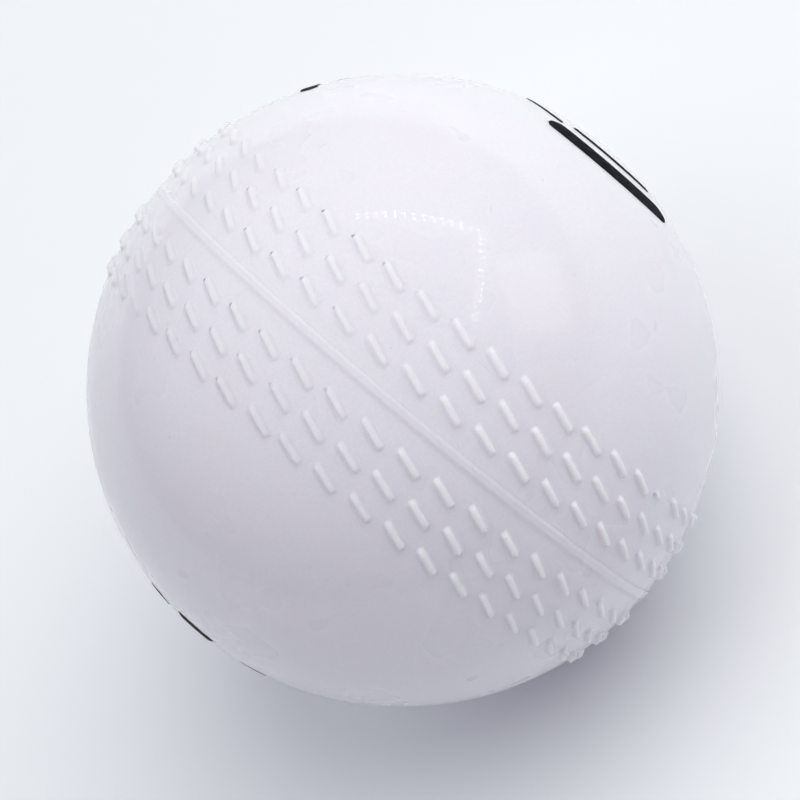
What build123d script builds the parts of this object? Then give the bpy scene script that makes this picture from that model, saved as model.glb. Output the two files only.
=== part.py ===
from build123d import *
import os
from math import cos, radians, sin, sqrt

# A cricket ball with a moulded plastic cover.
# The origin is the centre of the ball. The seam lies in the YZ plane, so +X is the axis of the
# seam, and +Z is up. Millimetres. A place on the ball is given by its latitude, in degrees from
# the seam towards +X, and its turn, in degrees about +X from +Y towards +Z.

# ---------------------------------------------------------------- driving dimensions
ball_radius = 36.0

# Cover: two halves of plasticised vinyl, joined by a stepped lap at the seam.
cover_thickness = 4.0
lap_half_width = 0.75
joint_groove_width = 0.20
joint_groove_depth = 0.15

# Seam rib, moulded on the rim of the left half.
rib_start = -0.50
rib_crown_height = 0.20
rib_edge_height = 0.14

# Stitches, moulded in three rows on each half.
stitches_per_row = 48
rows_per_half = 3
row_spacing = 3.35
row_lag_degrees = 0.60
first_row_lead_degrees = -0.22
half_turn_degrees = 0.71
stitch_slant_degrees = 20.5
stitch_length = 3.90
stitch_width = 0.95
stitch_height = 0.55
stitch_root = 0.45
stitch_draft_degrees = 11.0
stitch_edge_radius = 0.16

# Core, from the inside out: outer radius of each layer.
centre_nut_radius = 13.0
inner_winding_radius = 17.0
inner_cup_radius = 20.0
middle_winding_radius = 24.0
outer_cup_radius = 27.0

# Printed marks: plain arcs round the poles, and plain bars between seam and pole.
ink_thickness = 0.06
right_arcs_per_ring = 2
right_start_degrees = 96.0
right_span_degrees = 66.0
broad_ring_radius = 13.20
broad_ring_width = 2.60
thin_ring_radius = 9.30
thin_ring_width = 0.80
lead_ring_radius = 10.90
lead_ring_width = 0.60
lead_start_degrees = 50.0
lead_span_degrees = 38.0
left_arcs_per_ring = 4
left_ring_radius = 9.50
left_ring_width = 2.80
long_dash_start_degrees = 103.0
long_dash_span_degrees = 27.0
short_dash_start_degrees = 76.0
short_dash_span_degrees = 10.0
bar_width = 2.00
bar_spacing = 3.50
middle_bar_length = 11.00
side_bar_length = 4.60
bar_latitude_degrees = 33.3
bar_turn_degrees = 35.0
bar_tilt_degrees = 5.0

# ---------------------------------------------------------------- derived dimensions
cover_inner_radius = ball_radius - cover_thickness
lap_radius = ball_radius - cover_thickness / 2
stitch_pitch_degrees = 360.0 / stitches_per_row
mm_per_degree_of_seam = radians(1.0) * ball_radius
# The revolved surfaces start and end midway between two stitches of the middle row.
revolve_start_degrees = stitch_pitch_degrees / 2


def height_over(radius, x):
    """Distance from the X axis of a sphere's surface at the place x on that axis."""
    return sqrt(radius * radius - x * x)


def sphere_arc(radius, x_start, x_end):
    """Arc of a circle about the origin in the XY plane, from x_start to x_end."""
    x_middle = (x_start + x_end) / 2
    start = (x_start, height_over(radius, x_start))
    middle = (x_middle, height_over(radius, x_middle))
    end = (x_end, height_over(radius, x_end))
    return ThreePointArc(start, middle, end)


def turned_about_x(outline):
    """Solid made by turning a closed outline in the XY plane about the X axis."""
    solid = revolve(make_face(outline), axis=Axis.X)
    return Rot(revolve_start_degrees, 0, 0) * solid


# ---------------------------------------------------------------- stitches
def seam_plane(latitude_degrees, turn_degrees, slant_degrees, radius):
    """Plane square to a radius of the ball, with its x direction at a slant to the seam.

    A positive slant turns it from the seam towards +X.
    """
    latitude = radians(latitude_degrees)
    turn = radians(turn_degrees)
    slant = radians(slant_degrees)
    outward = Vector(sin(latitude), cos(latitude) * cos(turn), cos(latitude) * sin(turn))
    along_seam = Vector(0, sin(turn), -cos(turn))
    across_seam = along_seam.cross(outward)
    direction = along_seam * cos(slant) + across_seam * sin(slant)
    return Plane(origin=outward * radius, x_dir=direction, z_dir=outward)


def one_stitch():
    """Round-ended bar with drafted sides and a rounded top, rooted below z = 0."""
    draft = (stitch_root + stitch_height) * sin(radians(stitch_draft_degrees))
    foot = SlotOverall(stitch_length + draft, stitch_width + draft)
    bar = extrude(foot, stitch_root + stitch_height, taper=stitch_draft_degrees)
    top_edges = bar.edges().group_by(Axis.Z)[-1]
    bar = fillet(top_edges, stitch_edge_radius)
    return Pos(0, 0, -stitch_root) * bar


def stitch_rows(side):
    """Three rows of stitches. Side is 1 for the half towards +X and -1 for the other."""
    stitch = one_stitch()
    stitches = []
    for row in range(rows_per_half):
        latitude = side * (row + 1) * row_spacing / mm_per_degree_of_seam
        lag = first_row_lead_degrees + row * row_lag_degrees
        start = half_turn_degrees + side * lag
        for step in range(stitches_per_row):
            turn = start + step * stitch_pitch_degrees
            place = seam_plane(latitude, turn, stitch_slant_degrees, ball_radius)
            stitches.append(place * stitch)
    return stitches


# ---------------------------------------------------------------- cover
def cover_half_left():
    """Half towards -X: its outer lip reaches past the seam and carries the rib."""
    rib_foot = (rib_start, height_over(ball_radius, rib_start))
    rib_crown = (0.15, ball_radius + rib_crown_height)
    rib_edge = (lap_half_width, ball_radius + rib_edge_height)
    lip_inner = (lap_half_width, lap_radius)
    step_inner = (-lap_half_width, lap_radius)
    rim_inner = (-lap_half_width, height_over(cover_inner_radius, -lap_half_width))
    outline = [
        sphere_arc(ball_radius, -ball_radius, rib_start),
        ThreePointArc(rib_foot, rib_crown, rib_edge),
        Polyline(rib_edge, lip_inner, step_inner, rim_inner),
        sphere_arc(cover_inner_radius, -lap_half_width, -cover_inner_radius),
        Line((-cover_inner_radius, 0), (-ball_radius, 0)),
    ]
    return turned_about_x(outline) + stitch_rows(-1)


def cover_half_right():
    """Half towards +X: its tongue fits under the left half's lip, behind a fine groove."""
    groove_edge_x = lap_half_width + joint_groove_width
    groove_edge = (groove_edge_x, height_over(ball_radius, groove_edge_x))
    groove_floor = (lap_half_width, ball_radius - joint_groove_depth)
    step_outer = (lap_half_width, lap_radius)
    tongue_outer = (-lap_half_width, lap_radius)
    tongue_inner = (-lap_half_width, height_over(cover_inner_radius, -lap_half_width))
    outline = [
        sphere_arc(ball_radius, ball_radius, groove_edge_x),
        Polyline(groove_edge, groove_floor, step_outer, tongue_outer, tongue_inner),
        sphere_arc(cover_inner_radius, -lap_half_width, cover_inner_radius),
        Line((cover_inner_radius, 0), (ball_radius, 0)),
    ]
    return turned_about_x(outline) + stitch_rows(1)


# ---------------------------------------------------------------- core
def layer(inner_radius, outer_radius):
    """Closed round layer between two radii."""
    return Sphere(outer_radius) - Sphere(inner_radius)


def cup(inner_radius, outer_radius, axis):
    """Half of a round layer, on the side that the unit vector axis points to."""
    reach = 2 * outer_radius
    side = Vector(*axis)
    block = Pos(*(side * (reach / 2))) * Box(reach, reach, reach)
    return layer(inner_radius, outer_radius) & block


# ---------------------------------------------------------------- printed marks
def ink_layer():
    return layer(ball_radius, ball_radius + ink_thickness)


def round_ended_arc(mean_radius, width, start_degrees, span_degrees):
    """Arc about the origin, as a face in a plane's own x and y. Its round ends add to the span."""
    middle_line = CenterArc((0, 0), mean_radius, start_degrees, span_degrees)
    return SlotArc(middle_line, width)


def square_ended_arc(mean_radius, width, start_degrees, span_degrees):
    """Arc about the origin, as a face in a plane's own x and y, cut off square at its ends."""
    end_degrees = start_degrees + span_degrees
    inner, outer = mean_radius - width / 2, mean_radius + width / 2
    corners = [
        (radius * cos(radians(angle)), radius * sin(radians(angle)))
        for radius, angle in (
            (inner, start_degrees),
            (outer, start_degrees),
            (inner, end_degrees),
            (outer, end_degrees),
        )
    ]
    outline = [
        CenterArc((0, 0), inner, start_degrees, span_degrees),
        CenterArc((0, 0), outer, start_degrees, span_degrees),
        Line(corners[0], corners[1]),
        Line(corners[2], corners[3]),
    ]
    return make_face(outline)


def ring_of_arcs(side, arc_count, outline):
    """Copies of an outline as ink, evenly spaced round the pole on one side."""
    plane = Plane(origin=(0, 0, 0), x_dir=(0, 1, 0), z_dir=(1, 0, 0))
    arcs = []
    for step in range(arc_count):
        turned = Rot(0, 0, step * 360.0 / arc_count) * outline
        prism = extrude(plane * turned, side * 2 * ball_radius)
        arcs += (ink_layer() & prism).solids()
    return arcs


def pole_marks_right():
    """Broad arcs, a thin arc inside each, and a thinner one leading up to it."""
    start, span = right_start_degrees, right_span_degrees
    outlines = [
        round_ended_arc(broad_ring_radius, broad_ring_width, start, span),
        round_ended_arc(thin_ring_radius, thin_ring_width, start, span),
        round_ended_arc(lead_ring_radius, lead_ring_width, lead_start_degrees, lead_span_degrees),
    ]
    arcs = []
    for outline in outlines:
        arcs += ring_of_arcs(1, right_arcs_per_ring, outline)
    return Compound(children=arcs)


def pole_marks_left():
    """A ring of long and short dashes in turn."""
    radius, width = left_ring_radius, left_ring_width
    outlines = [
        square_ended_arc(radius, width, long_dash_start_degrees, long_dash_span_degrees),
        square_ended_arc(radius, width, short_dash_start_degrees, short_dash_span_degrees),
    ]
    dashes = []
    for outline in outlines:
        dashes += ring_of_arcs(-1, left_arcs_per_ring, outline)
    return Compound(children=dashes)


def bar_mark(shift_along, shift_across, length):
    """Round-ended bar of ink, at a place relative to the middle of the bars."""
    plane = seam_plane(bar_latitude_degrees, bar_turn_degrees, bar_tilt_degrees, 0)
    outline = Pos(shift_along, shift_across) * SlotOverall(length, bar_width)
    prism = extrude(plane * outline, 2 * ball_radius)
    return (ink_layer() & prism).solids()


def side_bars():
    """A long bar between two short ones, level with them at one end."""
    shift = (middle_bar_length - side_bar_length) / 2
    bars = bar_mark(0, 0, middle_bar_length)
    for across in (-bar_spacing, bar_spacing):
        bars += bar_mark(shift, across, side_bar_length)
    return Compound(children=bars)


# ---------------------------------------------------------------- the whole ball
def make_nodes():
    return {
        "centre_nut": Sphere(centre_nut_radius),
        "inner_winding": layer(centre_nut_radius, inner_winding_radius),
        "inner_cork_cup_upper": cup(inner_winding_radius, inner_cup_radius, (0, 0, 1)),
        "inner_cork_cup_lower": cup(inner_winding_radius, inner_cup_radius, (0, 0, -1)),
        "middle_winding": layer(inner_cup_radius, middle_winding_radius),
        "outer_cork_cup_front": cup(middle_winding_radius, outer_cup_radius, (0, -1, 0)),
        "outer_cork_cup_back": cup(middle_winding_radius, outer_cup_radius, (0, 1, 0)),
        "outer_winding": layer(outer_cup_radius, cover_inner_radius),
        "cover_half_left": cover_half_left(),
        "cover_half_right": cover_half_right(),
        "printed_arcs_right": pole_marks_right(),
        "printed_arcs_left": pole_marks_left(),
        "printed_bars": side_bars(),
    }


os.makedirs("parts", exist_ok=True)
for name, shape in make_nodes().items():
    export_step(shape, f"parts/{name}.step")
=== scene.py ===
import math

import bmesh
import bpy
import numpy as np
from mathutils import Matrix, Vector


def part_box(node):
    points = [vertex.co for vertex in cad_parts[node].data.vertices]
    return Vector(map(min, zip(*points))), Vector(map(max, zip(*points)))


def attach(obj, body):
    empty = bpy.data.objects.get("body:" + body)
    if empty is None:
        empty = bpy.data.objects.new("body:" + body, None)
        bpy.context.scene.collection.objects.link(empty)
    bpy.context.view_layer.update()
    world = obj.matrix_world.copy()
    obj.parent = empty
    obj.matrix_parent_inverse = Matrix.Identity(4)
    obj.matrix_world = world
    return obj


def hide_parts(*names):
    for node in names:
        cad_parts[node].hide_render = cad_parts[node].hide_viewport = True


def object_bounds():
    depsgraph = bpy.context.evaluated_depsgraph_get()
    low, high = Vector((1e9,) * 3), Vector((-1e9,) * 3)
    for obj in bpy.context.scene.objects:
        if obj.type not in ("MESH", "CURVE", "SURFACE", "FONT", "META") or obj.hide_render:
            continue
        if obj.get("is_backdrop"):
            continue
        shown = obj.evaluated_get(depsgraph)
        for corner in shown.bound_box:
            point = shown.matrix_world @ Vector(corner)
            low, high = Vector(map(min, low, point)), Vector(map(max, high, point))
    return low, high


# A cricket ball with a moulded vinyl cover, its printed marks and its layered core.
# A place on the ball is given by t, the distance in mm from the seam plane along the surface,
# growing towards the pole of that half, and by its turn, the angle about +X from +Y towards +Z.
# A side is -1 for the left cover half, towards -X, and 1 for the right one.

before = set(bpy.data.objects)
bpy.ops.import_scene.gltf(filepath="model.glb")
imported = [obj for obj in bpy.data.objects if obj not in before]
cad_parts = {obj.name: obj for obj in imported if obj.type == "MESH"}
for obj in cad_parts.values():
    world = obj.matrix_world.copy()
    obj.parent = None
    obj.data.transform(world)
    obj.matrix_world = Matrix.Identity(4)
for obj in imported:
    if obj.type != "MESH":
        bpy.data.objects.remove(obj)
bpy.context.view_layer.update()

MM = 0.001

# ---------------------------------------------------------------- driving dimensions, mm and degrees
ball_radius = round(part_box("cover_half_right")[1].x / MM, 3)
cover_thickness = 4.0
lap_half_width = 0.75

# The rib on the left half stands across the seam plane, with two fine lines along it. The groove
# on the right half runs beside it.
rib_start = 0.50
rib_mean_height = 0.13
rib_height_change = 0.06
rib_highest_turn = 195.0
rib_foot_outside = 0.15
rib_foot_inside = 0.50
rib_edge_drop = 0.05
rib_edge_inside = 0.30
rib_edge_outside = 0.20
rib_line_height = 0.012
rib_line_width = 0.10
rib_line_places = (-0.10, 0.42)
groove_depth = 0.03
groove_width = 0.14
groove_wall = 0.10
notch_turn = 126.5
notch_depth = 0.10
notch_radius = 0.24

# Each half has rows of slanting stitches. The rows of the two halves are moved along each other.
stitches_per_row = 48
rows_per_half = 3
row_spacing = 3.35
row_lag = 0.60
first_row_lead = -0.22
half_turn = 0.71
stitch_slant = 20.5
stitch_length = 3.90
stitch_height = 0.55
stitch_core_radius = 0.08
stitch_foot_radius = 0.54

# The stitches are worn lower and smoother on one side of the ball.
smoothed_turn = 85.0
smoothed_span = 60.0
smoothed_height_loss = 0.33
smoothed_foot_growth = 0.22

# Random seed and spread of the small differences between the stitches.
stitch_seed = 7
height_spread = 0.10
length_spread = 0.035
slant_spread = 0.9
along_spread = 0.04
across_spread = 0.03

# One stitch of the right half has been worn down, and has its own share of the dark marks, dirt and
# painted shade.
worn_row = 2
worn_number = 23
worn_height_share = 0.75
worn_half_core = 0.15
worn_shift = -0.65
worn_dirt_and_shade = 0.6

# Long shallow waves of the moulded surface. Their sum is divided by wave_sum, about its height.
wave_seed = 31
waviness_height = 0.012
wave_count = 24
shortest_wave = 8.0
longest_wave = 26.0
wave_sum = 3.5

# Dark marks at the ends of the stitches: a spot at each upper end, partly dirt and partly painted
# shade, and a faint smear of painted shade along the left foot. Where they gather, and the size and
# place of the spots.
dirt_and_shade_turn = 75.0
dirt_and_shade_span = 38.0
dirt_and_shade_amount = 1.6
least_dirt_and_shade = 0.05
full_dirt_and_shade = 1.5
spot_past_end = 0.36
spot_aside = 0.22
spot_core_radius = 0.12
spot_radius = 0.28
smear_aside = 0.40
smear_core_width = 0.05
smear_width = 0.22
smear_past_end = 0.2
smear_share = 0.08

# Yarn of the three windings.
strand_radius = 0.40
strand_overlap = 0.88
strands_per_band = 7
strand_segments = 64
strand_sides = 5
most_sunk = 0.5
under_strands = 1.5
# Number of bands and random seed of each winding.
inner_winding_bands = (18, 3)
middle_winding_bands = (28, 4)
outer_winding_bands = (40, 5)

# ---------------------------------------------------------------- mesh density
fine_columns_per_stitch = 20
row_intervals_per_stitch_row = 20
column_reduction = 4
column_crowding_place = 1.76
column_crowding_width = 0.20
row_crowding_place = 0.34
row_crowding_width = 0.15
crowding = 6.0
crowding_steps = 400
cap_spacing = 0.9
inside_spacing = 3.0
rib_rows = 25
groove_rows = 9
groove_margin = 0.12
flat_rows = 6
coarse_from_share = 0.85
rim_depth = 0.3
# The mesh lines start to bend along the stitches here, and are straight again past them.
bend_from = 0.95
bend_fades_before_end = 1.0
bend_fades_after_end = 0.9
bend_half_width = 1.75
even_before_end = 0.6
even_after_end = 2.0
# Faces that meet at more than this angle have a sharp edge between them.
sharp_angle = 70.0
sphere_subdivisions = 5

# ---------------------------------------------------------------- camera, degrees, mm and m (clip)
camera_azimuth = 6.59
camera_elevation = 59.84
camera_roll = 55.56
camera_distance = 261.7
camera_lens = 102.6
camera_sensor_width = 36.0
camera_clip_start = 0.01
camera_clip_end = 20.0
# How far the middle of the picture lies from the ball's centre, to the right and up.
camera_aim = (-0.316, -1.133)

# ---------------------------------------------------------------- floor and light, m and W
# Directions are given along the camera's right, up and back.
floor_reach = 1.2
floor_corners = 64
floor_colour = (0.865, 0.89, 0.905)
backdrop_height = 2.0
backdrop_colour = (0.93, 0.96, 1.0)
backdrop_strength = 0.72
world_colour = (0.82, 0.77, 1.0)
world_strength = 0.27
light_distance = 2.0
# Name, direction, width in m, power in W and colour of each soft light.
soft_lights = (
    ("key_light", (0.0, 0.64, 0.76), 2.0, 31.2, (1.0, 1.0, 0.955)),
    ("upper_light", (0.30, 0.90, 0.30), 1.4, 5.8, (0.95, 1.0, 0.97)),
    ("left_light", (-0.70, 0.20, 0.68), 1.6, 11.2, (0.95, 1.0, 0.96)),
)

# The lamp and the window are seen only in the gloss, and their sizes are in mm. Places in the
# lamp's plane are to the right and up from its middle.
lamp_direction = (0.113, 0.822, 0.558)
lamp_distance = 432.0
lamp_top_edge = ((-140, 75), (122, 6))
lamp_side_edge = ((124, -18), (112, -270))
lamp_dots_per_row = 14
lamp_row_gap = 11.0
lamp_dot_radius = 4.2
lamp_dot_corners = 10
lamp_dot_strength = 9.0
lamp_glow_start = (-150, 77)
lamp_glow_outer_corner = (124, 6)
lamp_glow_inner_corner = (124, 4)
lamp_glow_end = (112, -280)
lamp_glow_width = 34.0
lamp_glow_behind = 5.0
lamp_glow_strength = 0.40
window_direction = (0.75, 0.55, 0.60)
window_size = (170.0, 190.0)
window_strength = 1.4

# ---------------------------------------------------------------- looks
# Colours are linear red, green, blue and alpha. Sizes are in mm.
vinyl_base = (0.825, 0.810, 0.853, 1)
vinyl_pinker = (0.845, 0.785, 0.823, 1)
vinyl_darker = (0.775, 0.765, 0.815, 1)
# Stitch colours for painted light, paler, and for painted shade, duller.
painted_light_stitch = (0.868, 0.870, 0.870, 1)
painted_shade_stitch = (0.785, 0.772, 0.812, 1)
bluish_speck = (0.25, 0.26, 0.34, 1)
reddish_speck = (0.50, 0.24, 0.27, 1)
brown_hair = (0.33, 0.25, 0.27, 1)
# Colour of the dark marks at the stitch ends, partly dirt and partly painted shade.
blue_dirt_and_shade = (0.09, 0.13, 0.27, 1)
ink_dark = (0.003, 0.0035, 0.006, 1)
ink_light = (0.008, 0.009, 0.014, 1)
cork_fleck = (0.10, 0.05, 0.025, 1)
sheet_cork_light = (0.56, 0.36, 0.19, 1)
sheet_cork_dark = (0.36, 0.21, 0.10, 1)
nut_cork_light = (0.30, 0.16, 0.09, 1)
nut_cork_dark = (0.12, 0.06, 0.04, 1)
yarn_dark = (0.64, 0.55, 0.42, 1)
yarn_light = (0.80, 0.73, 0.60, 1)
yarn_fibre = (0.48, 0.39, 0.28, 1)
sheet_cork_grain = 1.2
nut_cork_grain = 1.8

# The looks of the stitches change along Y. Towards -Y, where the ball is in shade, they are paler:
# painted light. Towards +Y, where it is brightly lit, a duller colour begins, which is painted
# shade, and more of the relief is hidden. Furthest along Y, near the ball's edge as the camera sees
# it, less is hidden again.
painted_light_ends_y = (-34.0, -12.0)
painted_shade_begins_y = (-22.0, -4.0)
hiding_begins_y = (-34.0, -8.0)
hiding_ends_y = (12.0, 30.0)
painted_light_share = 0.65
least_hidden = 0.05
most_hidden = 0.88
hidden_at_end = 0.2

# Light spreads this far inside the vinyl, and less beside the joint, where the vinyl ends.
light_spread = 1.8
light_spread_at_joint = 0.10
joint_influence = 1.6

# ---------------------------------------------------------------- derived dimensions
mm_per_degree = math.radians(1.0) * ball_radius
pitch_degrees = 360.0 / stitches_per_row
half_pitch_mm = pitch_degrees * mm_per_degree / 2
cover_inner_radius = ball_radius - cover_thickness
lap_radius = ball_radius - cover_thickness / 2
pole_distance = math.pi / 2 * ball_radius
stitch_band_start = row_spacing / 2
stitch_band_end = (rows_per_half + 0.5) * row_spacing


# ---------------------------------------------------------------- small helpers
def smooth(value, low, high):
    """0 below low, 1 above high, with a smooth change between them."""
    share = np.clip((value - low) / (high - low), 0.0, 1.0)
    return share * share * (3 - 2 * share)


def smoother(value, low, high):
    """Like smooth, with a gentler start and end."""
    share = np.clip((value - low) / (high - low), 0.0, 1.0)
    return share ** 3 * (share * (6 * share - 15) + 10)


def crowded(span, place, width, count):
    """Numbers from 0 to span, closest together near one place."""
    fine = np.linspace(0, span, crowding_steps)
    density = 1 + crowding * np.exp(-(((fine - place) / width) ** 2))
    total = np.concatenate([[0], np.cumsum((density[1:] + density[:-1]) / 2)])
    return np.interp(np.linspace(0, total[-1], count), total, fine)


def mirrored(offsets):
    """Offsets on both sides of 0, without the last one, which the next group shares."""
    return np.concatenate([-offsets[:0:-1], offsets[:-1]])


# ---------------------------------------------------------------- shape of the cover's surface
def row_turn(side, row):
    """Turn of the first stitch of a row: each row lags a little behind the last."""
    return half_turn + side * (first_row_lead + row * row_lag)


def row_turn_at(side, t):
    """Turn of the first stitch at the distance t, which changes evenly between the rows."""
    row = np.clip(t / row_spacing - 1, 0, rows_per_half - 1)
    return row_turn(side, row)


def stitch_profile(distance, foot_radius):
    """Height of a stitch, as a share, at a distance from its middle line."""
    return 1 - smoother(distance, stitch_core_radius, foot_radius)


def stitch_variations(side):
    """Small seeded differences between the stitches, one table row for each stitch row."""
    random = np.random.default_rng(stitch_seed + side)
    shape = (rows_per_half, stitches_per_row)
    turn = np.arange(stitches_per_row) * pitch_degrees
    dirt_and_shade_nearness = np.exp(-(((turn - dirt_and_shade_turn) / dirt_and_shade_span) ** 2))
    smoothed = np.exp(-(((turn - smoothed_turn) / smoothed_span) ** 2))
    smoothed_height = stitch_height * (1 - smoothed_height_loss * smoothed)
    foot = np.tile(stitch_foot_radius * (1 + smoothed_foot_growth * smoothed), (rows_per_half, 1))
    varied = {
        "foot": foot,
        "height": smoothed_height * (1 - height_spread * random.random(shape)),
        "half_core": stitch_length / 2 - foot + random.normal(0, length_spread, shape),
        "slant": np.radians(stitch_slant + random.normal(0, slant_spread, shape)),
        "along": random.normal(0, along_spread, shape),
        "across": random.normal(0, across_spread, shape),
    }
    # The dark marks, dirt and painted shade, gather on one side of the ball.
    dirt_and_shade = dirt_and_shade_nearness * dirt_and_shade_amount + least_dirt_and_shade - random.random(shape)
    varied["dirt_and_shade"] = np.clip(dirt_and_shade, 0, full_dirt_and_shade) / full_dirt_and_shade
    if side > 0:
        varied["height"][worn_row, worn_number] *= worn_height_share
        varied["half_core"][worn_row, worn_number] = worn_half_core
        varied["along"][worn_row, worn_number] = worn_shift
        varied["dirt_and_shade"][worn_row, worn_number] = worn_dirt_and_shade
    return varied


def dirt_and_shade_spot(along, across, half_core):
    """Dark spot at the upper end of a stitch, partly dirt and partly painted shade, with a faint
    smear of painted shade along its left foot.
    """
    from_spot = np.hypot(along - half_core - spot_past_end, across + spot_aside)
    spot = 1 - smooth(from_spot, spot_core_radius, spot_radius)
    smear = 1 - smooth(np.abs(across + smear_aside), smear_core_width, smear_width)
    smear = smear * smooth(along, -half_core, half_core) * (along < half_core + smear_past_end)
    return np.maximum(spot, smear_share * smear)


def stitch_relief(side, t, turn, varied):
    """Height of the stitches, their shape as a share, and the dark marks at their ends, dirt and
    painted shade.
    """
    latitude = t / ball_radius
    height = np.zeros_like(t)
    share = np.zeros_like(t)
    dirt_and_shade = np.zeros_like(t)
    for row in range(rows_per_half):
        row_t = (row + 1) * row_spacing
        start = row_turn(side, row)
        step = np.round((turn - start) / pitch_degrees)
        number = step.astype(int) % stitches_per_row
        towards_turn = (turn - start - step * pitch_degrees) * mm_per_degree * np.cos(latitude)
        towards_x = side * (t - row_t)
        towards_turn = towards_turn - varied["along"][row, number]
        towards_x = towards_x - varied["across"][row, number]
        slant = varied["slant"][row, number]
        half_core = varied["half_core"][row, number]
        along = -towards_turn * np.cos(slant) + towards_x * np.sin(slant)
        across = towards_turn * np.sin(slant) + towards_x * np.cos(slant)
        past_end = np.maximum(np.abs(along) - half_core, 0)
        from_middle = np.hypot(past_end, across)
        profile = stitch_profile(from_middle, varied["foot"][row, number])
        height = np.maximum(height, varied["height"][row, number] * profile)
        share = np.maximum(share, profile)
        spot = dirt_and_shade_spot(along, across, half_core)
        dirt_and_shade = np.maximum(dirt_and_shade, spot * varied["dirt_and_shade"][row, number])
    return height, share, dirt_and_shade


def waviness(directions):
    """Very shallow long waves that a moulded cover has."""
    random = np.random.default_rng(wave_seed)
    height = np.zeros(len(directions))
    for _ in range(wave_count):
        axis = random.normal(size=3)
        axis /= np.linalg.norm(axis)
        wavelength = random.uniform(shortest_wave, longest_wave)
        phase = random.uniform(0, 2 * math.pi)
        wave = np.sin(directions @ axis * (2 * math.pi * ball_radius / wavelength) + phase)
        height += wave * wavelength / longest_wave
    return height * waviness_height / wave_sum


def rib_height(side, t, turn):
    """The low moulded rib on the left half, and the fine groove on the right one."""
    if side > 0:
        wall = lap_half_width + groove_width
        return -groove_depth * (1 - smooth(t, wall - groove_wall, wall + groove_wall))
    x = -t
    from_notch = np.hypot(x - lap_half_width, (turn - notch_turn) * mm_per_degree)
    notch = notch_depth * (1 - smooth(from_notch, 0.0, notch_radius))
    height = rib_mean_height + rib_height_change * np.cos(np.radians(turn - rib_highest_turn))
    rise = smooth(x, -rib_start - rib_foot_outside, -rib_start + rib_foot_inside)
    rounding = smooth(x, lap_half_width - rib_edge_inside, lap_half_width + rib_edge_outside)
    lines = sum(np.exp(-(((x - place) / rib_line_width) ** 2)) for place in rib_line_places)
    return height * rise - rib_edge_drop * rounding + rib_line_height * lines - notch


def surface_points(side, t, turn, varied):
    """Points of the cover's outer surface, each with its stitch share and its share of dirt and
    painted shade.
    """
    latitude = side * t / ball_radius
    angle = np.radians(turn)
    directions = np.stack(
        [np.sin(latitude), np.cos(latitude) * np.cos(angle), np.cos(latitude) * np.sin(angle)],
        axis=1,
    )
    stitches, share, dirt_and_shade = stitch_relief(side, t, turn, varied)
    height = rib_height(side, t, turn) + waviness(directions) + stitches
    points = directions * (ball_radius + height)[:, None]
    return np.column_stack([points, share, dirt_and_shade])


# ---------------------------------------------------------------- rings of the cover mesh
def column_turns(side, t, keep_every):
    """Turn and distance of one ring of mesh points, bent so that mesh lines follow the stitches."""
    half_count = fine_columns_per_stitch // 2 + 1
    half = crowded(half_pitch_mm, column_crowding_place, column_crowding_width, half_count)
    offsets = mirrored(half)
    even = (np.arange(fine_columns_per_stitch) / fine_columns_per_stitch - 0.5) * 2 * half_pitch_mm
    evenness = smooth(t, stitch_band_end - even_before_end, stitch_band_end + even_after_end)
    offsets = offsets * (1 - evenness) + even * evenness
    past_start = smooth(t, bend_from, stitch_band_start + bend_from)
    past_end = smooth(
        t, stitch_band_end - bend_fades_before_end, stitch_band_end + bend_fades_after_end
    )
    in_band = past_start * (1 - past_end)
    bend = 1 - smooth(np.abs(offsets), bend_half_width, half_pitch_mm)
    shift = -math.tan(math.radians(stitch_slant)) * offsets * bend * in_band
    turns = offsets / mm_per_degree
    steps = np.arange(stitches_per_row) * pitch_degrees
    turn = (steps[:, None] + turns[None, :]).ravel() + row_turn_at(side, t)
    distance = np.tile(t + side * shift, stitches_per_row)
    return turn[::keep_every], distance[::keep_every]


def outer_ring(side, t, keep_every, varied):
    """Ring of points of the cover's outer surface at the distance t."""
    turn, distance = column_turns(side, t, keep_every)
    return surface_points(side, distance, turn, varied)


def ring_at(side, t_edge, x, radius, keep_every):
    """Ring of points at a place on the axis and at a distance from the ball's centre."""
    turn, _ = column_turns(side, t_edge, keep_every)
    angle = np.radians(turn)
    across = math.sqrt(max(radius * radius - x * x, 0.0))
    plain = np.zeros(len(angle))
    return np.column_stack(
        [plain + x, across * np.cos(angle), across * np.sin(angle), plain, plain]
    )


def row_distances(side):
    """Distances t of the fine mesh rows, from the joint's edge to the end of the stitches."""
    edge = side * lap_half_width
    if side < 0:
        before = np.linspace(edge, stitch_band_start, rib_rows)[:-1]
    else:
        groove = np.linspace(edge, edge + groove_width + groove_margin, groove_rows)
        flat = np.linspace(groove[-1], stitch_band_start, flat_rows)[1:-1]
        before = np.concatenate([groove, flat])
    half_count = row_intervals_per_stitch_row // 2 + 1
    half = crowded(row_spacing / 2, row_crowding_place, row_crowding_width, half_count)
    band = [(row + 1) * row_spacing + mirrored(half) for row in range(rows_per_half)]
    return np.concatenate([before, *band, [stitch_band_end]])


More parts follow.
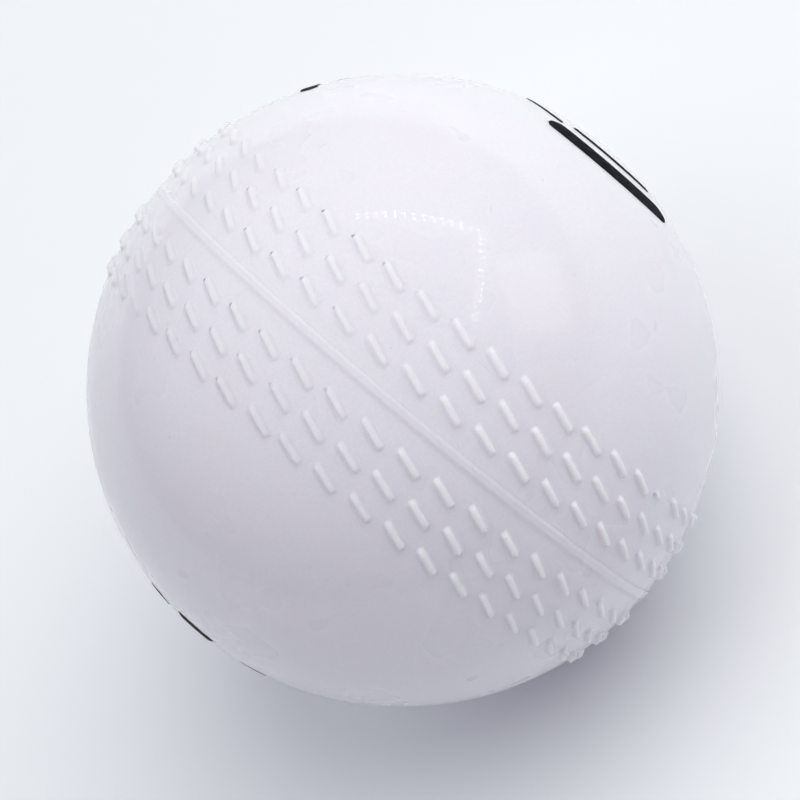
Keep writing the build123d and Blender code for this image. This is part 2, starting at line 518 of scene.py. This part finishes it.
def cover_rings(side):
    """All rings of one half, from the outer pole round the joint's edge to the inner pole."""
    varied = stitch_variations(side)
    edge = side * lap_half_width
    cap_steps = int((pole_distance - stitch_band_end) / cap_spacing)
    cap = np.linspace(pole_distance, stitch_band_end, cap_steps + 1)[1:-1]
    medium = column_reduction
    coarse = medium * medium
    rings = []
    for t in cap:
        keep_every = coarse if t > coarse_from_share * pole_distance else medium
        rings.append(outer_ring(side, t, keep_every, varied))
    for t in row_distances(side)[::-1]:
        rings.append(outer_ring(side, t, 1, varied))
    joint_x = lap_half_width
    tongue_x = -lap_half_width
    for x, radius in (
        (joint_x, ball_radius - rim_depth),
        (joint_x, lap_radius),
        (0.0, lap_radius),
        (tongue_x, lap_radius),
        (tongue_x, cover_inner_radius),
    ):
        rings.append(ring_at(side, edge, x, radius, medium))
    first = math.asin(tongue_x * side / cover_inner_radius)
    inside_steps = int(cover_inner_radius * math.pi / 2 / inside_spacing)
    for latitude in np.linspace(first, math.pi / 2, inside_steps + 1)[1:-1]:
        x = side * cover_inner_radius * math.sin(latitude)
        rings.append(ring_at(side, edge, x, cover_inner_radius, coarse))
    return rings


# ---------------------------------------------------------------- mesh building
def strip(first, second, count):
    """Faces between two rings with the same number of points."""
    next_point = (np.arange(count) + 1) % count
    here = np.arange(count)
    return np.stack([first + here, first + next_point, second + next_point, second + here], axis=1)


def fan_strip(fine, coarse, count, flip):
    """Triangles between a fine ring and one with a quarter of its points."""
    faces = []
    fine_count = count * column_reduction
    for c in range(count):
        f = [fine + (c * column_reduction + i) % fine_count for i in range(column_reduction + 1)]
        here = coarse + c
        after = coarse + (c + 1) % count
        fan = [(here, f[0], f[1]), (here, f[1], f[2]), (here, f[2], after)]
        fan += [(after, f[2], f[3]), (after, f[3], f[4])]
        faces += [face[::-1] if flip else face for face in fan]
    return faces


def shell_from_rings(name, rings, first_pole, last_pole):
    """Closed mesh from rings of points, with one point at each end."""
    points = [np.array([[*first_pole, 0, 0]])]
    starts = []
    total = 1
    for ring in rings:
        starts.append(total)
        points.append(ring)
        total += len(ring)
    points.append(np.array([[*last_pole, 0, 0]]))
    faces = []
    count = len(rings[0])
    for i in range(count):
        faces.append((0, starts[0] + (i + 1) % count, starts[0] + i))
    for i in range(len(rings) - 1):
        here, after = len(rings[i]), len(rings[i + 1])
        if here == after:
            faces += strip(starts[i], starts[i + 1], here)[:, ::-1].tolist()
        elif here > after:
            faces += fan_strip(starts[i], starts[i + 1], after, True)
        else:
            faces += fan_strip(starts[i + 1], starts[i], here, False)
    count = len(rings[-1])
    for i in range(count):
        faces.append((total, starts[-1] + i, starts[-1] + (i + 1) % count))
    mesh = bpy.data.meshes.new(name)
    table = np.concatenate(points)
    mesh.from_pydata((table[:, :3] * MM).tolist(), [], faces)
    # The second attribute holds the dark marks at the stitch ends, partly dirt and partly painted
    # shade.
    for column, attribute_name in ((3, "stitch"), (4, "dirt_and_shade")):
        attribute = mesh.attributes.new(attribute_name, "FLOAT", "POINT")
        attribute.data.foreach_set("value", table[:, column].astype(np.float32))
    mesh.update()
    return mesh


def outward(mesh):
    """Turns the faces over if the closed mesh is inside out."""
    corners = np.zeros(len(mesh.vertices) * 3)
    mesh.vertices.foreach_get("co", corners)
    corners = corners.reshape(-1, 3)
    mesh.calc_loop_triangles()
    triangles = np.zeros(len(mesh.loop_triangles) * 3, int)
    mesh.loop_triangles.foreach_get("vertices", triangles)
    a, b, c = corners[triangles.reshape(-1, 3)].transpose(1, 0, 2)
    if np.sum(a * np.cross(b, c)) < 0:
        mesh.flip_normals()


def add_piece(name, mesh, material, replaced):
    """Puts a finished mesh in the scene, in place of a CAD node."""
    outward(mesh)
    mesh.polygons.foreach_set("use_smooth", [True] * len(mesh.polygons))
    mesh.set_sharp_from_angle(angle=math.radians(sharp_angle))
    mesh.materials.append(material)
    piece = bpy.data.objects.new(name, mesh)
    bpy.context.scene.collection.objects.link(piece)
    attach(piece, "root")
    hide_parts(replaced)


def add_cover_half(side, name, replaced, material):
    """Cover half on the side -1 or 1 of the seam plane, as one closed mesh."""
    rings = cover_rings(side)
    outer_pole = (side * ball_radius, 0, 0)
    inner_pole = (side * cover_inner_radius, 0, 0)
    mesh = shell_from_rings(name, rings, outer_pole, inner_pole)
    add_piece(name, mesh, material, replaced)


# ---------------------------------------------------------------- wound yarn
def strand_corners(centre_radius, axis, latitude):
    """Corners of one closed strand that runs round an axis at a small latitude."""
    helper = np.array([0.0, 0.0, 1.0]) if abs(axis[2]) < 0.9 else np.array([1.0, 0.0, 0.0])
    first = np.cross(axis, helper)
    first /= np.linalg.norm(first)
    second = np.cross(axis, first)
    around = np.arange(strand_segments) * 2 * math.pi / strand_segments
    level = np.cos(around)[:, None] * first + np.sin(around)[:, None] * second
    out = level * math.cos(latitude) + axis * math.sin(latitude)
    aside = axis * math.cos(latitude) - level * math.sin(latitude)
    section = np.arange(strand_sides) * 2 * math.pi / strand_sides
    away = centre_radius + strand_radius * np.cos(section)
    across = strand_radius * np.sin(section)
    corners = out[:, None, :] * away[None, :, None] + aside[:, None, :] * across[None, :, None]
    return corners.reshape(-1, 3)


def strand_faces(start):
    """Faces of one closed strand whose corners begin at the number start."""
    segment, side = np.meshgrid(np.arange(strand_segments), np.arange(strand_sides), indexing="ij")
    after = (segment + 1) % strand_segments
    beside = (side + 1) % strand_sides
    corners = [
        segment * strand_sides + side,
        after * strand_sides + side,
        after * strand_sides + beside,
        segment * strand_sides + beside,
    ]
    return np.stack(corners, axis=-1).reshape(-1, 4) + start


def sphere_parts(radius, inside_out):
    """Corners and faces of a plain sphere."""
    sphere = bmesh.new()
    bmesh.ops.create_icosphere(sphere, subdivisions=sphere_subdivisions, radius=radius)
    corners = np.array([corner.co[:] for corner in sphere.verts])
    faces = [[corner.index for corner in face.verts] for face in sphere.faces]
    sphere.free()
    if inside_out:
        faces = [face[::-1] for face in faces]
    return corners, faces


def add_winding(name, replaced, wound_on, bands, material):
    """Hollow ball of yarn: bands of strands that run round it in many directions."""
    band_count, seed = bands
    outer_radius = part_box(replaced)[1].x / MM
    inner_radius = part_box(wound_on)[1].x / MM
    corners, faces = sphere_parts(outer_radius - under_strands * strand_radius, False)
    inner_corners, inner_faces = sphere_parts(inner_radius, True)
    faces += [[number + len(corners) for number in face] for face in inner_faces]
    parts = [corners, inner_corners]
    total = len(corners) + len(inner_corners)
    random = np.random.default_rng(seed)
    centre_radius = outer_radius - strand_radius
    step = 2 * strand_radius * strand_overlap / centre_radius
    for _ in range(band_count):
        axis = random.normal(size=3)
        axis /= np.linalg.norm(axis)
        sunk = random.uniform(0.0, most_sunk) * strand_radius
        for strand in range(strands_per_band):
            latitude = (strand - (strands_per_band - 1) / 2) * step
            parts.append(strand_corners(centre_radius - sunk, axis, latitude))
            faces += strand_faces(total).tolist()
            total += strand_segments * strand_sides
    mesh = bpy.data.meshes.new(name)
    mesh.from_pydata((np.concatenate(parts) * MM).tolist(), [], faces)
    mesh.update()
    add_piece(name, mesh, material, replaced)


# ---------------------------------------------------------------- materials
class Graph:
    """Short names for the nodes of one material. Places are in mm in the ball's own frame."""

    def __init__(self, name):
        self.material = bpy.data.materials.new(name)
        self.material.use_nodes = True
        self.tree = self.material.node_tree
        self.shader = self.tree.nodes["Principled BSDF"]
        place = self.tree.nodes.new("ShaderNodeTexCoord").outputs["Object"]
        self.place = self.vector("SCALE", place, scale=1 / MM)

    def link(self, source, target):
        """Joins an output to an input, or sets the input to a plain value."""
        if hasattr(source, "is_output"):
            self.tree.links.new(source, target)
        else:
            target.default_value = source

    def vector(self, operation, first, scale=None):
        """One step of vector arithmetic."""
        node = self.tree.nodes.new("ShaderNodeVectorMath")
        node.operation = operation
        self.link(first, node.inputs[0])
        if scale is not None:
            node.inputs["Scale"].default_value = scale
        return node.outputs[0]

    def math(self, operation, first, second=0.5):
        """One step of arithmetic."""
        node = self.tree.nodes.new("ShaderNodeMath")
        node.operation = operation
        self.link(first, node.inputs[0])
        self.link(second, node.inputs[1])
        return node.outputs[0]

    def noise(self, size, detail=3.0, roughness=0.5, distortion=0.0):
        """Noise whose features are about size mm across."""
        node = self.tree.nodes.new("ShaderNodeTexNoise")
        self.link(self.place, node.inputs["Vector"])
        node.inputs["Scale"].default_value = 1 / size
        node.inputs["Detail"].default_value = detail
        node.inputs["Roughness"].default_value = roughness
        node.inputs["Distortion"].default_value = distortion
        return node.outputs["Fac"]

    def cells(self, size, feature="F1"):
        """Distance from the middle or the edge of random cells about size mm across."""
        node = self.tree.nodes.new("ShaderNodeTexVoronoi")
        node.feature = feature
        self.link(self.place, node.inputs["Vector"])
        node.inputs["Scale"].default_value = 1 / size
        return node.outputs["Distance"]

    def between(self, value, low, high, to_low=0.0, to_high=1.0):
        """to_low where the value is below low, to_high above high, with a smooth change between."""
        node = self.tree.nodes.new("ShaderNodeMapRange")
        node.interpolation_type = "SMOOTHSTEP"
        self.link(value, node.inputs["Value"])
        node.inputs["From Min"].default_value = low
        node.inputs["From Max"].default_value = high
        node.inputs["To Min"].default_value = to_low
        node.inputs["To Max"].default_value = to_high
        return node.outputs["Result"]

    def mix(self, share, first, second):
        """First colour, with a share of the second one."""
        node = self.tree.nodes.new("ShaderNodeMix")
        node.data_type = "RGBA"
        self.link(share, node.inputs["Factor"])
        self.link(first, node.inputs["A"])
        self.link(second, node.inputs["B"])
        return node.outputs["Result"]

    def bump(self, height, distance):
        """Surface direction for a height of 0 to 1 that stands for a distance in mm."""
        node = self.tree.nodes.new("ShaderNodeBump")
        self.link(height, node.inputs["Height"])
        node.inputs["Distance"].default_value = distance * MM
        node.inputs["Strength"].default_value = 1.0
        return node.outputs["Normal"]

    def part_of_place(self, letter):
        """X, Y or Z of the place, in mm."""
        node = self.tree.nodes.new("ShaderNodeSeparateXYZ")
        self.link(self.place, node.inputs[0])
        return node.outputs[letter]

    def softened_normal(self, share):
        """Surface direction turned part of the way towards that of a plain ball."""
        own = self.tree.nodes.new("ShaderNodeNewGeometry").outputs["Normal"]
        turn = self.tree.nodes.new("ShaderNodeVectorTransform")
        turn.vector_type = "NORMAL"
        turn.convert_from = "OBJECT"
        turn.convert_to = "WORLD"
        self.link(self.place, turn.inputs[0])
        mix = self.tree.nodes.new("ShaderNodeMix")
        mix.data_type = "VECTOR"
        self.link(share, mix.inputs["Factor"])
        # Of the sockets called A and B, numbers 4 and 5 are the vector ones.
        self.link(own, mix.inputs[4])
        self.link(self.vector("NORMALIZE", turn.outputs[0]), mix.inputs[5])
        return self.vector("NORMALIZE", mix.outputs[1])

    def attribute(self, name):
        """Number that the mesh holds at its points."""
        node = self.tree.nodes.new("ShaderNodeAttribute")
        node.attribute_name = name
        return node.outputs["Fac"]

    def set(self, **values):
        """Sets or joins the shader's own inputs, named in small letters."""
        names = {name.replace(" ", "_").lower(): name for name in self.shader.inputs.keys()}
        for key, value in values.items():
            self.link(value, self.shader.inputs[names[key]])


def vinyl_colour(graph, stitch, y):
    """Lavender white with pinkish blotches and a fine mottle. The stitches get painted light, paler
    towards -Y, and painted shade, duller towards +Y.
    """
    blotch = graph.between(graph.noise(size=11.0, detail=2), 0.45, 0.85, 0.0, 0.5)
    colour = graph.mix(blotch, vinyl_base, vinyl_pinker)
    mottle = graph.between(graph.noise(size=0.30, detail=2), 0.30, 0.70, 0.0, 0.55)
    colour = graph.mix(mottle, colour, vinyl_darker)
    # Paler stitches towards -Y, where the ball is in shade: painted light.
    painted_light = graph.math("MULTIPLY", stitch, graph.between(y, *painted_light_ends_y, painted_light_share, 0.0))
    colour = graph.mix(painted_light, colour, painted_light_stitch)
    # Duller, darker stitches towards +Y, where the ball is brightly lit: painted shade.
    painted_shade = graph.between(stitch, 0.0, 0.5)
    painted_shade = graph.math("MULTIPLY", painted_shade, graph.between(y, *painted_shade_begins_y))
    return graph.mix(painted_shade, colour, painted_shade_stitch)


def with_specks(graph, colour):
    """Adds small bluish and reddish specks, in loose groups."""
    radius = graph.between(graph.noise(size=5.0, detail=2), 0.45, 0.75, 0.0, 0.075)
    speck = graph.math("LESS_THAN", graph.cells(size=2.6), radius)
    speck = graph.math("MULTIPLY", speck, 0.28)
    reddish = graph.between(graph.noise(size=9.0, detail=1), 0.52, 0.56)
    return graph.mix(speck, colour, graph.mix(reddish, bluish_speck, reddish_speck))


def with_hairs(graph, colour):
    """Adds a few short fine hairs, which are bits of the borders between random cells."""
    hair = graph.math("LESS_THAN", graph.cells(size=4.0, feature="DISTANCE_TO_EDGE"), 0.010)
    here = graph.between(graph.noise(size=1.6, detail=1), 0.68, 0.72, 0.0, 0.12)
    return graph.mix(graph.math("MULTIPLY", hair, here), colour, brown_hair)


def vinyl_normal(graph, stitch, y):
    """Surface direction that hides part of the relief of the stitches.

    Light that spreads inside the vinyl hides it, most of all where the stitches are worn smooth.
    """
    hidden = graph.between(y, *hiding_begins_y, least_hidden, most_hidden)
    ending = graph.between(y, *hiding_ends_y, 1.0, hidden_at_end)
    hidden = graph.math("MULTIPLY", hidden, ending)
    hidden = graph.math("MULTIPLY", hidden, graph.between(stitch, 0.0, 0.05))
    return graph.softened_normal(hidden)


def vinyl_light_spread(graph):
    """How far light spreads inside the vinyl, in m."""
    from_joint = graph.math("SUBTRACT", graph.part_of_place("X"), lap_half_width)
    from_joint = graph.math("ABSOLUTE", from_joint)
    at_joint = light_spread_at_joint * MM
    return graph.between(from_joint, 0.0, joint_influence, at_joint, light_spread * MM)


def white_vinyl():
    """Glossy, slightly translucent white vinyl with a faint lavender tint."""
    graph = Graph("white_vinyl")
    stitch = graph.attribute("stitch")
    y = graph.part_of_place("Y")
    colour = vinyl_colour(graph, stitch, y)
    colour = with_hairs(graph, with_specks(graph, colour))
    # Dark bluish marks at the stitch ends: partly dirt, partly painted shade.
    colour = graph.mix(graph.attribute("dirt_and_shade"), colour, blue_dirt_and_shade)
    roughness = graph.between(graph.noise(size=8.0, detail=2), 0.3, 0.7, 0.26, 0.34)
    graph.set(
        base_color=colour,
        roughness=roughness,
        ior=1.50,
        subsurface_weight=1.0,
        subsurface_radius=(1.0, 0.88, 0.94),
        subsurface_scale=vinyl_light_spread(graph),
        specular_ior_level=0.35,
        normal=vinyl_normal(graph, stitch, y),
        coat_weight=graph.between(stitch, 0.1, 0.6, 0.55, 0.15),
        coat_roughness=0.03,
        coat_ior=1.5,
    )
    return graph.material


def black_ink():
    """Pad-printed black ink, a little uneven."""
    graph = Graph("black_ink")
    uneven = graph.between(graph.noise(size=0.5, detail=4, roughness=0.6), 0.4, 0.7)
    colour = graph.mix(uneven, ink_dark, ink_light)
    roughness = graph.between(graph.noise(size=0.8), 0.3, 0.7, 0.50, 0.65)
    normal = graph.bump(graph.noise(size=0.3), 0.006)
    graph.set(base_color=colour, roughness=roughness, normal=normal, specular_ior_level=0.02)
    return graph.material


def cork(name, light, dark, grain):
    """Cork granules pressed together."""
    graph = Graph(name)
    cells = graph.cells(grain)
    shade = graph.between(cells, 0.1, 0.8)
    colour = graph.mix(shade, light, dark)
    fleck = graph.between(graph.noise(size=grain * 0.6, detail=4, roughness=0.7), 0.58, 0.66)
    colour = graph.mix(fleck, colour, cork_fleck)
    normal = graph.bump(cells, 0.12)
    graph.set(base_color=colour, roughness=0.85, normal=normal)
    return graph.material


def yarn():
    """Undyed wool yarn with short loose fibres."""
    graph = Graph("yarn")
    patches = graph.between(graph.noise(size=3.0, roughness=0.6), 0.35, 0.65)
    colour = graph.mix(patches, yarn_dark, yarn_light)
    fibres = graph.noise(size=0.22, detail=4, roughness=0.7, distortion=1.5)
    colour = graph.mix(graph.between(fibres, 0.55, 0.75, 0.0, 0.6), colour, yarn_fibre)
    normal = graph.bump(fibres, 0.10)
    graph.set(base_color=colour, roughness=0.9, sheen_weight=0.3, normal=normal)
    return graph.material


def paint_node(name, material):
    """Gives a CAD node that stays in view its material."""
    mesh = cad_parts[name].data
    mesh.materials.clear()
    mesh.materials.append(material)


# ---------------------------------------------------------------- camera
def camera_axes():
    """Right, up and back directions of the camera."""
    azimuth = math.radians(camera_azimuth)
    elevation = math.radians(camera_elevation)
    roll = math.radians(camera_roll)
    level = math.cos(elevation)
    back = Vector((math.sin(azimuth) * level, -math.cos(azimuth) * level, math.sin(elevation)))
    level_right = Vector((math.cos(azimuth), math.sin(azimuth), 0))
    level_up = back.cross(level_right)
    up = level_up * math.cos(roll) + level_right * math.sin(roll)
    return up.cross(back), up, back


def from_camera_axes(direction):
    """Direction that is given along the camera's right, up and back."""
    right, up, back = camera_axes()
    return (right * direction[0] + up * direction[1] + back * direction[2]).normalized()


def add_camera():
    """Camera at the photograph's viewing angle."""
    right, up, back = camera_axes()
    camera = bpy.data.objects.new("camera", bpy.data.cameras.new("camera"))
    bpy.context.scene.collection.objects.link(camera)
    place = back * camera_distance + right * camera_aim[0] + up * camera_aim[1]
    turned = Matrix((right, up, back)).transposed().to_4x4()
    camera.matrix_world = Matrix.Translation(place * MM) @ turned
    camera.data.sensor_width = camera_sensor_width
    camera.data.lens = camera_lens
    camera.data.clip_start = camera_clip_start
    camera.data.clip_end = camera_clip_end
    bpy.context.scene.camera = camera


# ---------------------------------------------------------------- floor and light
def circle_angles(corners):
    """Angles of evenly spaced corners round a circle."""
    return [2 * math.pi * i / corners for i in range(corners)]


def floor_edge(z):
    """Points round the edge of the floor, at the height z."""
    angles = circle_angles(floor_corners)
    return [(floor_reach * math.cos(a), floor_reach * math.sin(a), z) for a in angles]


def add_floor():
    """Pale round floor that the ball stands on."""
    mesh = bpy.data.meshes.new("floor")
    mesh.from_pydata(floor_edge(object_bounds()[0].z), [], [list(range(floor_corners))])
    graph = Graph("floor")
    graph.set(base_color=(*floor_colour, 1), roughness=0.7, specular_ior_level=0.1)
    mesh.materials.append(graph.material)
    floor = bpy.data.objects.new("floor", mesh)
    bpy.context.scene.collection.objects.link(floor)
    floor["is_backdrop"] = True


def add_backdrop():
    """Pale wall round the floor, which lights nothing and which the gloss doesn't show."""
    low = floor_edge(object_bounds()[0].z)
    high = floor_edge(backdrop_height)
    faces = strip(0, floor_corners, floor_corners).tolist()
    mesh = bpy.data.meshes.new("backdrop")
    mesh.from_pydata(low + high, [], faces)
    mesh.materials.append(glowing("backdrop", backdrop_strength, backdrop_colour))
    backdrop = bpy.data.objects.new("backdrop", mesh)
    bpy.context.scene.collection.objects.link(backdrop)
    backdrop.visible_diffuse = False
    backdrop.visible_glossy = False
    backdrop.visible_shadow = False
    backdrop.visible_transmission = False
    backdrop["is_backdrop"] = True


def add_soft_light(name, direction, width, power, colour):
    """Round soft light that faces the ball, and that only shows by what it lights."""
    lamp = bpy.data.lights.new(name, "AREA")
    lamp.shape = "DISK"
    lamp.size = width
    lamp.energy = power
    lamp.color = colour
    lamp_object = bpy.data.objects.new(name, lamp)
    bpy.context.scene.collection.objects.link(lamp_object)
    towards = from_camera_axes(direction)
    lamp_object.location = towards * light_distance
    lamp_object.rotation_mode = "QUATERNION"
    lamp_object.rotation_quaternion = towards.to_track_quat("Z", "Y")
    lamp_object.visible_glossy = False
    lamp_object.visible_camera = False


def add_world():
    """Even light from all round."""
    world = bpy.data.worlds.new("world")
    world.use_nodes = True
    background = world.node_tree.nodes["Background"]
    background.inputs["Color"].default_value = (*world_colour, 1)
    background.inputs["Strength"].default_value = world_strength
    bpy.context.scene.world = world


def glowing(name, strength, colour=(1, 1, 1)):
    """Plain light-giving surface."""
    material = bpy.data.materials.new(name)
    material.use_nodes = True
    tree = material.node_tree
    tree.nodes.remove(tree.nodes["Principled BSDF"])
    emission = tree.nodes.new("ShaderNodeEmission")
    emission.inputs["Strength"].default_value = strength
    emission.inputs["Color"].default_value = (*colour, 1)
    tree.links.new(emission.outputs["Emission"], tree.nodes["Material Output"].inputs["Surface"])
    return material


def add_reflected(name, polygons, strength):
    """Light-giving shapes that only reflections show. Polygons are lists of points in mm."""
    points = []
    faces = []
    for polygon in polygons:
        faces.append(list(range(len(points), len(points) + len(polygon))))
        points += [tuple(point * MM) for point in polygon]
    mesh = bpy.data.meshes.new(name)
    mesh.from_pydata(points, [], faces)
    mesh.materials.append(glowing(name, strength))
    shape = bpy.data.objects.new(name, mesh)
    bpy.context.scene.collection.objects.link(shape)
    shape.visible_camera = False
    shape.visible_diffuse = False
    shape.visible_shadow = False
    shape.visible_transmission = False
    shape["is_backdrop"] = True


def lamp_plane(direction, distance):
    """Function from a place in a plane that faces the ball to a point, both in mm."""
    up = camera_axes()[1]
    facing = from_camera_axes(direction)
    plane_up = (up - facing * up.dot(facing)).normalized()
    plane_right = plane_up.cross(facing)
    return lambda x, y: facing * distance + plane_right * x + plane_up * y


def round_dot(place, x, y):
    """Corners of one small round light of the lamp."""
    angles = circle_angles(lamp_dot_corners)
    return [
        place(x + lamp_dot_radius * math.cos(a), y + lamp_dot_radius * math.sin(a)) for a in angles
    ]


def moved(edge, right_by, up_by):
    """An edge of the lamp, moved to the right and up."""
    return [(x + right_by, y + up_by) for x, y in edge]


def row_of_dots(place, edge):
    """Small lights spread evenly along an edge of the lamp."""
    (start_x, start_y), (end_x, end_y) = edge
    dots = []
    for i in range(lamp_dots_per_row):
        share = i / (lamp_dots_per_row - 1)
        x = start_x + (end_x - start_x) * share
        y = start_y + (end_y - start_y) * share
        dots.append(round_dot(place, x, y))
    return dots


def glow_outline(place):
    """Corners of the pale band round the lamp's rows of lights."""
    half = lamp_glow_width / 2
    middle = lamp_row_gap / 2
    start_x, start_y = lamp_glow_start
    outer_x, outer_y = lamp_glow_outer_corner
    inner_x, inner_y = lamp_glow_inner_corner
    end_x, end_y = lamp_glow_end
    return [
        place(start_x, start_y - middle + half),
        place(outer_x + middle + half, outer_y - middle + half),
        place(end_x + middle + half, end_y),
        place(end_x + middle - half, end_y),
        place(inner_x + middle - half, inner_y - middle - half),
        place(start_x, start_y - middle - half),
    ]


def add_lamp():
    """Lamp with two rows of small lights along two of its edges, and a glow behind them."""
    place = lamp_plane(lamp_direction, lamp_distance)
    dots = []
    for aside in (0, lamp_row_gap):
        dots += row_of_dots(place, moved(lamp_top_edge, 0, -aside))
        dots += row_of_dots(place, moved(lamp_side_edge, aside, 0))
    add_reflected("lamp_dots", dots, lamp_dot_strength)
    behind = lamp_plane(lamp_direction, lamp_distance + lamp_glow_behind)
    add_reflected("lamp_glow", [glow_outline(behind)], lamp_glow_strength)


def add_window():
    """Tall soft window beside the lamp."""
    place = lamp_plane(window_direction, lamp_distance)
    half_width = window_size[0] / 2
    half_height = window_size[1] / 2
    corners = [
        place(-half_width, -half_height),
        place(half_width, -half_height),
        place(half_width, half_height),
        place(-half_width, half_height),
    ]
    add_reflected("window", [corners], window_strength)


# ---------------------------------------------------------------- the ball
vinyl = white_vinyl()
add_cover_half(-1, "left_cover", "cover_half_left", vinyl)
add_cover_half(1, "right_cover", "cover_half_right", vinyl)

ink = black_ink()
for node in ("printed_arcs_right", "printed_arcs_left", "printed_bars"):
    paint_node(node, ink)

wool = yarn()
add_winding("inner_yarn", "inner_winding", "centre_nut", inner_winding_bands, wool)
add_winding("middle_yarn", "middle_winding", "inner_cork_cup_upper", middle_winding_bands, wool)
add_winding("outer_yarn", "outer_winding", "outer_cork_cup_front", outer_winding_bands, wool)

sheet_cork = cork("sheet_cork", sheet_cork_light, sheet_cork_dark, sheet_cork_grain)
for node in (
    "inner_cork_cup_upper",
    "inner_cork_cup_lower",
    "outer_cork_cup_front",
    "outer_cork_cup_back",
):
    paint_node(node, sheet_cork)

nut_cork = cork("cork_composition", nut_cork_light, nut_cork_dark, nut_cork_grain)
paint_node("centre_nut", nut_cork)

# ---------------------------------------------------------------- the surroundings
add_camera()
add_floor()
add_backdrop()
for soft_light in soft_lights:
    add_soft_light(*soft_light)
add_lamp()
add_window()
add_world()
bpy.context.scene.view_settings.view_transform = "Standard"
